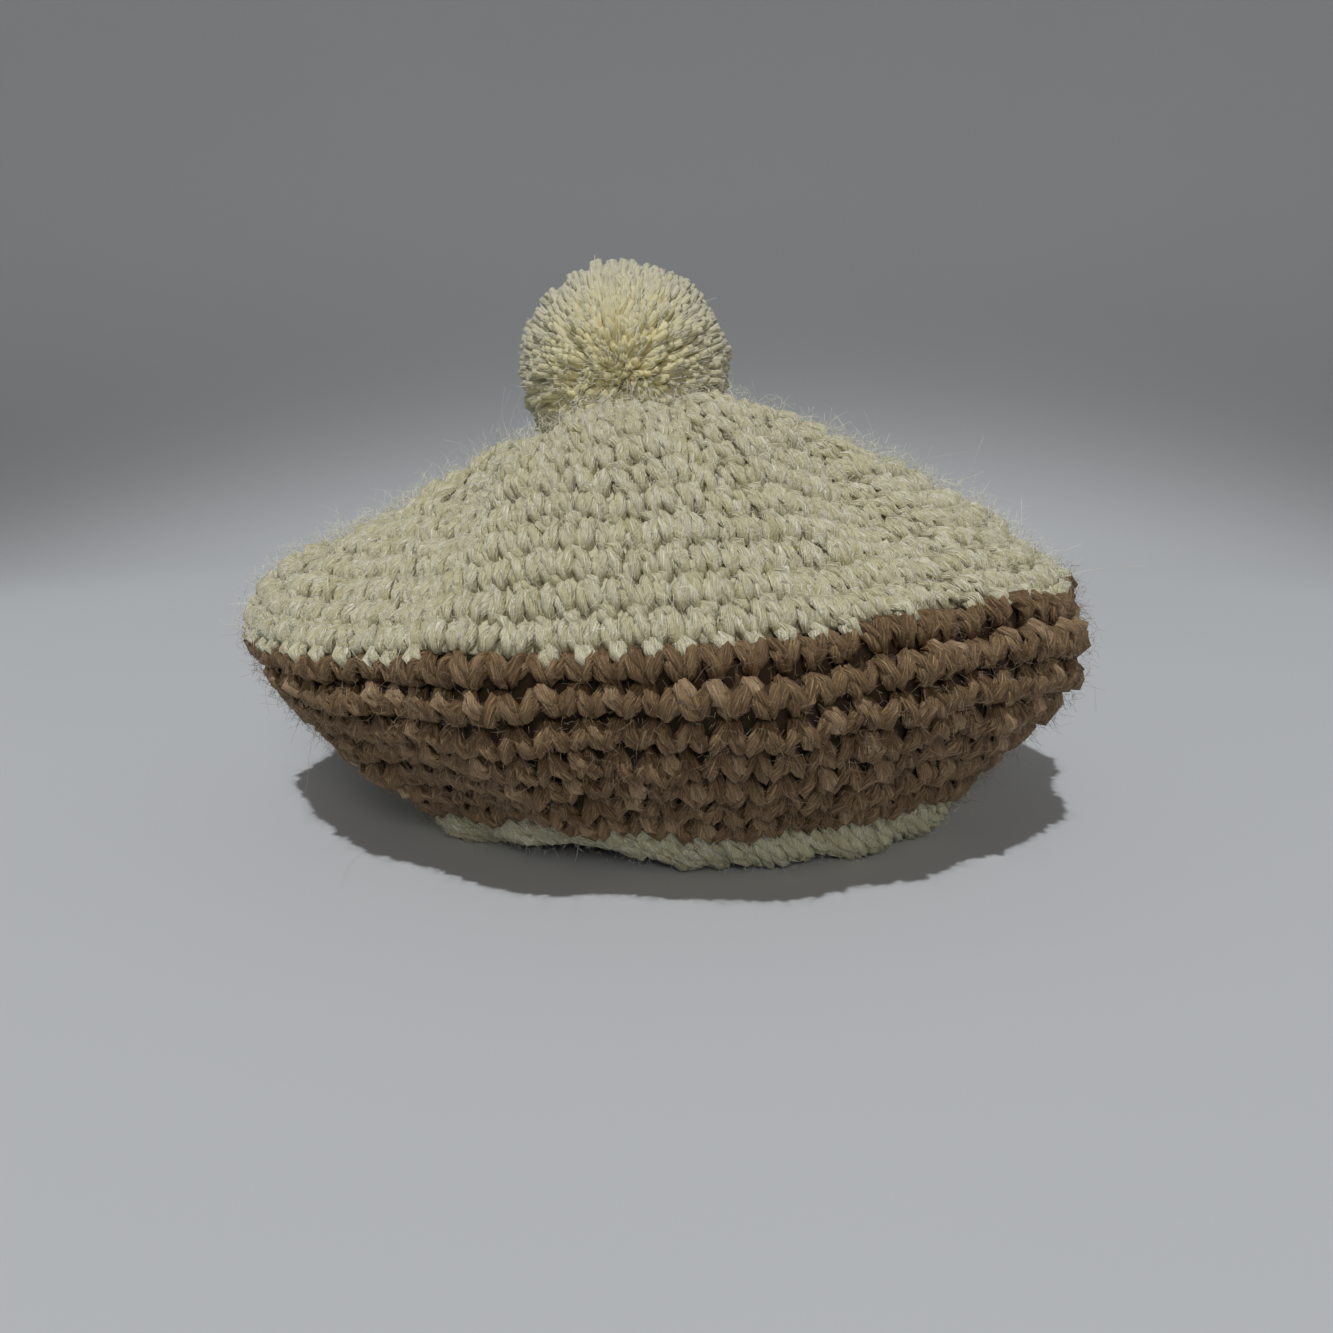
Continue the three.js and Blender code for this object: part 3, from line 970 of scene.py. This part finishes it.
def fuzz(name, shell, material, slot, density, length, seed):
    """Loose fibres over a shell: most are short, some stand off it in curls, a few are long."""
    KINDS = [
        {"share": 0.72, "times": 0.8, "curl": 0.0, "rows": 2},
        {"share": 0.27, "times": 1.25, "curl": 0.6, "rows": 3},
        {"share": 0.01, "times": 2.8, "curl": 1.0, "rows": 7},
    ]
    ROUND_HEIGHT = 7 * MM
    LOWEST, HIGHEST = 0.8, 2.6
    RISE = (1.2, 2.2)
    LENGTHS_DIFFER = 0.35
    THINNEST, THICKEST = 0.7, 1.3
    TINTS_DIFFER = 0.33
    random = np.random.default_rng(seed)
    first, last = SHELLS[shell]
    surface = fabric()
    around = np.array([surface.round_length(row + 0.5) for row in range(first, last)])
    count = int(around.sum() * ROUND_HEIGHT / SQUARE_CM * density)
    row = random.choice(np.arange(first, last), count, p=around / around.sum())
    rounds = row + random.random(count)
    turn = random.random(count)
    starts = surface.at(turn, rounds, random.uniform(LOWEST, HIGHEST, count) * MM)
    normals = surface.normal(turn, rounds)
    flat = unit(np.cross(normals, random.normal(0, 1, (count, 3))))
    rise = random.beta(*RISE, (count, 1))
    directions = unit(flat * (1 - rise) + normals * rise)
    lengths = length * np.exp(random.normal(0, LENGTHS_DIFFER, count))
    halves = bpy.context.scene.beret_fuzz.half * random.uniform(THINNEST, THICKEST, count)
    kinds = random.choice(len(KINDS), count, p=[kind["share"] for kind in KINDS])
    parts = []
    for index, kind in enumerate(KINDS):
        own = kinds == index
        sizes = kind["times"] * lengths[own], halves[own]
        parts.append(hairs(starts[own], directions[own], *sizes, kind["curl"], kind["rows"], random))
    return piece_of_tubes(name, parts, material, slot, shell, random, differ=TINTS_DIFFER)


# Pompom

# From the pompom's middle to the parting at its front.
PARTING = unit(np.array([-0.05, -1.0, -0.14]))


def pompom_shape():
    """The ball's centre and radius: it is as wide as its solid and reaches its top."""
    low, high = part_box("pompom")
    radius = (high.x - low.x) / 2
    centre = np.array([(low.x + high.x) / 2, (low.y + high.y) / 2, high.z - radius])
    return centre, radius


def pompom_hub():
    """Where the strands fan out from, behind the parting at the front."""
    HUB = 0.55
    centre, radius = pompom_shape()
    return centre + HUB * radius * PARTING


def spread_directions(count, random):
    """Even directions over a ball, slightly shuffled."""
    SHUFFLE = 0.025
    index = np.arange(count) + 0.5
    height = 1 - 2 * index / count
    turn = math.pi * (3 - math.sqrt(5)) * index
    across = np.sqrt(1 - height**2)
    even = np.stack([across * np.cos(turn), across * np.sin(turn), height], 1)
    return unit(even + random.normal(0, SHUFFLE, (count, 3)))


def room_above_crown(centre, directions):
    """How far each direction runs before it meets the crown."""
    FAR = 0.1
    tree = fabric().trees["crown"]
    start = Vector(centre)
    hits = [tree.ray_cast(start, Vector(direction), FAR) for direction in directions]
    return np.array([FAR if place is None else distance for place, _, _, distance in hits])


def pompom_strands(centre, radius, directions, room, random):
    """Cut yarns that fan out from the parting at the front, in pairs of plies, and their ends."""
    SIDES = 5
    DIP = 0.13
    DIP_WIDTH = 0.08
    REACHES_DIFFER = 0.03
    OFF_CROWN = 0.5 * MM
    ROOT = 0.25
    FLUFF = 1.6 * MM
    BEND = 2.2 * MM
    THINNEST, THICKEST = 0.8, 1.15
    PLY_APART = 0.70 * MM
    APART_AT_ROOT, APART_MORE_AT_TIP = 0.7, 0.5
    SHAPE = np.array([0.85, 1.0, 1.08, 1.08, 0.72])
    count = len(directions)
    dip = DIP * np.exp(-(1 - directions @ PARTING) / DIP_WIDTH)
    reach = (radius - FLUFF) * (1 - dip + random.normal(0, REACHES_DIFFER, count))
    reach = np.minimum(reach, room - OFF_CROWN)
    steps = np.linspace(0, 1, len(SHAPE))[None, :, None]
    bend = unit(np.cross(directions, random.normal(0, 1, (count, 3))))
    hub = pompom_hub()
    tips = centre + directions * reach[:, None]
    roots = hub + ROOT * (tips - hub)
    away = bend * np.abs(random.normal(0, 1, (count, 1))) * BEND
    yarns = roots[:, None] + (tips - roots)[:, None] * steps + away[:, None] * steps**2
    thickness = random.uniform(THINNEST, THICKEST, (count, 1))
    halves = bpy.context.scene.beret_pompom.half * SHAPE[None] * thickness
    aside = unit(np.cross(directions, random.normal(0, 1, (count, 3))))[:, None]
    apart = APART_AT_ROOT + APART_MORE_AT_TIP * steps
    paths = np.concatenate([yarns + sign * aside * PLY_APART * apart for sign in (-1, 1)])
    halves = np.concatenate([halves, halves])
    ups = np.broadcast_to(np.concatenate([aside, aside]), paths.shape)
    ends = paths[:, -2], unit(paths[:, -1] - paths[:, -3]), halves[:, -2]
    return tubes(paths, halves, ups, SIDES), ends


def pompom_tips(ends, aims, halves, random):
    """Fibres that fan out of each cut end."""
    EACH = 3
    FAN = 0.22
    WITHIN = 0.6
    LENGTH, LENGTHS_DIFFER = 3.4 * MM, 0.2
    HALF = 0.12 * MM
    CURL, ROWS = 0.25, 2
    ends, aims, halves = (np.repeat(values, EACH, axis=0) for values in (ends, aims, halves))
    fan = random.normal(0, 1, aims.shape)
    fan -= aims * (fan * aims).sum(1, keepdims=True)
    starts = ends + unit(fan) * (WITHIN * halves * random.random(len(halves)) ** 0.5)[:, None]
    lengths = LENGTH * np.exp(random.normal(0, LENGTHS_DIFFER, len(starts)))
    thin = np.full(len(starts), HALF)
    return hairs(starts, unit(aims + FAN * fan), lengths, thin, CURL, ROWS, random)


# Stage


def add_floor(stage):
    """A flat floor whose edge sweeps up all round, so that no horizon line shows."""
    SIDES = 96
    FLAT = 0.70
    MIDDLE = (0, -0.30, 0)
    SWEEP = 0.22
    STEPS = 12
    WALL = 0.3
    SMOOTH = math.radians(30)
    bpy.ops.object.select_all(action="DESELECT")
    bpy.ops.mesh.primitive_circle_add(vertices=SIDES, radius=FLAT, fill_type="NOTHING", location=MIDDLE)
    bpy.ops.object.transform_apply(location=True)
    floor = bpy.context.object
    floor.name = "floor"
    bpy.ops.object.mode_set(mode="EDIT")
    bpy.ops.mesh.select_all(action="SELECT")
    for step in range(1, STEPS + 1):
        lower, upper = (math.radians(90 * s / STEPS) for s in (step - 1, step))
        radius = FLAT + SWEEP * math.sin(lower)
        wider = FLAT + SWEEP * math.sin(upper)
        bpy.ops.mesh.extrude_region_move(
            TRANSFORM_OT_translate={"value": (0, 0, SWEEP * (math.cos(lower) - math.cos(upper)))}
        )
        bpy.ops.transform.resize(value=(wider / radius, wider / radius, 1))
    bpy.ops.mesh.extrude_region_move(TRANSFORM_OT_translate={"value": (0, 0, WALL)})
    bpy.ops.mesh.select_all(action="DESELECT")
    bpy.ops.object.mode_set(mode="OBJECT")
    for vertex in floor.data.vertices:
        vertex.select = vertex.co.z < MM
    bpy.ops.object.mode_set(mode="EDIT")
    bpy.ops.mesh.edge_face_add()
    bpy.ops.mesh.select_all(action="SELECT")
    bpy.ops.mesh.normals_make_consistent(inside=True)
    bpy.ops.object.mode_set(mode="OBJECT")
    bpy.ops.object.shade_smooth_by_angle(angle=SMOOTH)
    floor.data.materials.append(floor_material("floor", stage.floor))
    floor.select_set(False)


def add_camera(context, stage):
    SENSOR_MM = 36
    NEAREST = 10 * MM
    bpy.ops.object.camera_add(
        location=(0, -stage.distance, stage.height),
        rotation=(math.pi / 2 - stage.pitch, 0, 0),
    )
    camera = context.object
    camera.name = "camera"
    camera.data.lens = stage.lens
    camera.data.sensor_width = SENSOR_MM
    camera.data.clip_start = NEAREST
    context.scene.camera = camera


def add_light(context, name, kind, place, watts):
    """A light that looks at the beret."""
    TARGET = Vector((0, 0, 50 * MM))
    bpy.ops.object.light_add(type=kind, location=place)
    light = context.object
    light.name = name
    light.data.energy = watts
    light.visible_camera = False
    light.rotation_euler = (TARGET - Vector(place)).to_track_quat("-Z", "Y").to_euler()
    return light.data


def add_lights(context):
    """A narrow key from high up in front, a weak fill and a weak sky."""
    KEY_PLACE, KEY_WATTS = (-0.34, -1.72, 3.55), 330.0
    KEY_RADIUS = 0.06
    KEY_CONE, KEY_SOFT_EDGE = math.radians(16), 0.63
    FILL_PLACE, FILL_WATTS = (0.2, -1.6, 0.85), 6.0
    FILL_SIZE = 0.5
    FILL_COLOUR = (1.0, 0.94, 0.86)
    SKY_COLOUR, SKY_STRENGTH = (0.93, 0.89, 0.87, 1), 0.15
    key = add_light(context, "key", "SPOT", KEY_PLACE, KEY_WATTS)
    key.shadow_soft_size = KEY_RADIUS
    key.spot_size = KEY_CONE
    key.spot_blend = KEY_SOFT_EDGE
    fill = add_light(context, "fill", "AREA", FILL_PLACE, FILL_WATTS)
    fill.size = FILL_SIZE
    fill.color = FILL_COLOUR
    world = context.scene.world or bpy.data.worlds.new("World")
    context.scene.world = world
    world.use_nodes = True
    background = world.node_tree.nodes["Background"]
    background.inputs["Color"].default_value = SKY_COLOUR
    background.inputs["Strength"].default_value = SKY_STRENGTH


# Operators


class BERET_OT_crown(bpy.types.Operator):
    """Crochets the cream crown"""

    bl_idname = "beret.crown"
    bl_label = "Crown"

    def execute(self, context):
        first, last = SHELLS["crown"]
        rim = last - 1
        finish = yarn("cream"), "cream_yarn"
        backing("crown_fabric", "crown", yarn("cream_back"), "cream_yarn")
        crochet("crown_stitches", "crown", CROWN_LEG, *finish, seed=11)
        loops("crown_loops", "crown", CROWN_LOOP, *finish, (first, rim), seed=12)
        loops("crown_rim", "crown", CROWN_RIM_LOOP, *finish, (rim, last), seed=13, share=0.8, pale=0.75)
        return {"FINISHED"}


class BERET_OT_underbrim(bpy.types.Operator):
    """Crochets the brown underbrim"""

    bl_idname = "beret.underbrim"
    bl_label = "Underbrim"

    def execute(self, context):
        first, last = SHELLS["underbrim"]
        rim = first + 1
        finish = yarn("brown"), "brown_yarn"
        loop = "underbrim", UNDERBRIM_LOOP, yarn("tan"), "brown_yarn"
        backing("underbrim_fabric", "underbrim", yarn("brown_back"), "brown_yarn")
        crochet("underbrim_stitches", "underbrim", UNDERBRIM_LEG, *finish, seed=21)
        loops("underbrim_rim", *loop, (first, rim), seed=23, share=0.5, pale=0.7)
        loops("underbrim_loops", *loop, (rim, last - 1), seed=22, share=0.28, pale=0.4)
        return {"FINISHED"}


class BERET_OT_headband(bpy.types.Operator):
    """Crochets the cream headband"""

    bl_idname = "beret.headband"
    bl_label = "Headband"

    def execute(self, context):
        backing("headband_fabric", "headband", yarn("cream_back"), "cream_yarn")
        roll("headband_stitches", "headband", BAND_STRAND, yarn("cream"), "cream_yarn", seed=31)
        return {"FINISHED"}


class BERET_OT_pompom(bpy.types.Operator):
    """Makes the pompom's strands and their fluffed tips"""

    bl_idname = "beret.pompom"
    bl_label = "Pompom"

    def execute(self, context):
        LEAST_ROOM = 0.55
        SEED = 41
        random = np.random.default_rng(SEED)
        centre, radius = pompom_shape()
        directions = spread_directions(context.scene.beret_pompom.strands, random)
        room = room_above_crown(centre, directions)
        free = room > LEAST_ROOM * radius
        strands, ends = pompom_strands(centre, radius, directions[free], room[free], random)
        piece_of_tubes("pompom_strands", [strands], yarn("pompom"), "pompom_yarn", "pompom", random)
        tips = pompom_tips(*ends, random)
        piece_of_tubes("pompom_tips", [tips], yarn("pompom_fibre"), "pompom_yarn", "pompom", random)
        return {"FINISHED"}


class BERET_OT_fuzz(bpy.types.Operator):
    """Adds the loose fibres over the fabric"""

    bl_idname = "beret.fuzz"
    bl_label = "Fuzz"

    def execute(self, context):
        UNDERBRIM_LENGTH = 0.85
        BAND_DENSITY, BAND_LENGTH = 0.7, 0.6
        dense = context.scene.beret_fuzz.density
        long = context.scene.beret_fuzz.length
        cream = yarn("cream_fibre"), "cream_yarn"
        brown = yarn("brown_fibre"), "brown_yarn"
        band = BAND_DENSITY * dense, BAND_LENGTH * long
        fuzz("crown_fuzz", "crown", *cream, dense, long, seed=51)
        fuzz("underbrim_fuzz", "underbrim", *brown, dense, UNDERBRIM_LENGTH * long, seed=52)
        fuzz("headband_fuzz", "headband", *cream, *band, seed=53)
        return {"FINISHED"}


class BERET_OT_stage(bpy.types.Operator):
    """Adds the floor, the camera and the lights"""

    bl_idname = "beret.stage"
    bl_label = "Stage"

    def execute(self, context):
        stage = context.scene.beret_stage
        add_floor(stage)
        add_camera(context, stage)
        add_lights(context)
        context.scene.view_settings.view_transform = "Standard"
        return {"FINISHED"}


class BERET_PT_panel(bpy.types.Panel):
    """Lists the beret's pieces and their settings"""

    bl_idname = "BERET_PT_panel"
    bl_label = "Pom-pom beret"
    bl_space_type = "VIEW_3D"
    bl_region_type = "UI"
    bl_category = "Beret"

    def draw(self, context):
        for operator in OPERATORS:
            self.layout.operator(operator.bl_idname)
        for group in PROPERTIES:
            box = self.layout.box()
            owner = getattr(context.scene, group)
            for name in owner.__annotations__:
                box.prop(owner, name)


OPERATORS = (
    BERET_OT_crown,
    BERET_OT_underbrim,
    BERET_OT_headband,
    BERET_OT_pompom,
    BERET_OT_fuzz,
    BERET_OT_stage,
)
PROPERTIES = {
    "beret_yarn": BERET_PG_yarn,
    "beret_fuzz": BERET_PG_fuzz,
    "beret_pompom": BERET_PG_pompom,
    "beret_stage": BERET_PG_stage,
}


def register():
    for cls in (*PROPERTIES.values(), *OPERATORS, BERET_PT_panel):
        bpy.utils.register_class(cls)
    for name, group in PROPERTIES.items():
        setattr(bpy.types.Scene, name, PointerProperty(type=group))


def unregister():
    for name in PROPERTIES:
        delattr(bpy.types.Scene, name)
    for cls in (BERET_PT_panel, *reversed(OPERATORS), *reversed(PROPERTIES.values())):
        bpy.utils.unregister_class(cls)


def main():
    register()
    bpy.ops.beret.crown()
    bpy.ops.beret.underbrim()
    bpy.ops.beret.headband()
    bpy.ops.beret.pompom()
    bpy.ops.beret.fuzz()
    bpy.ops.beret.stage()


if __name__ == "__main__":
    main()
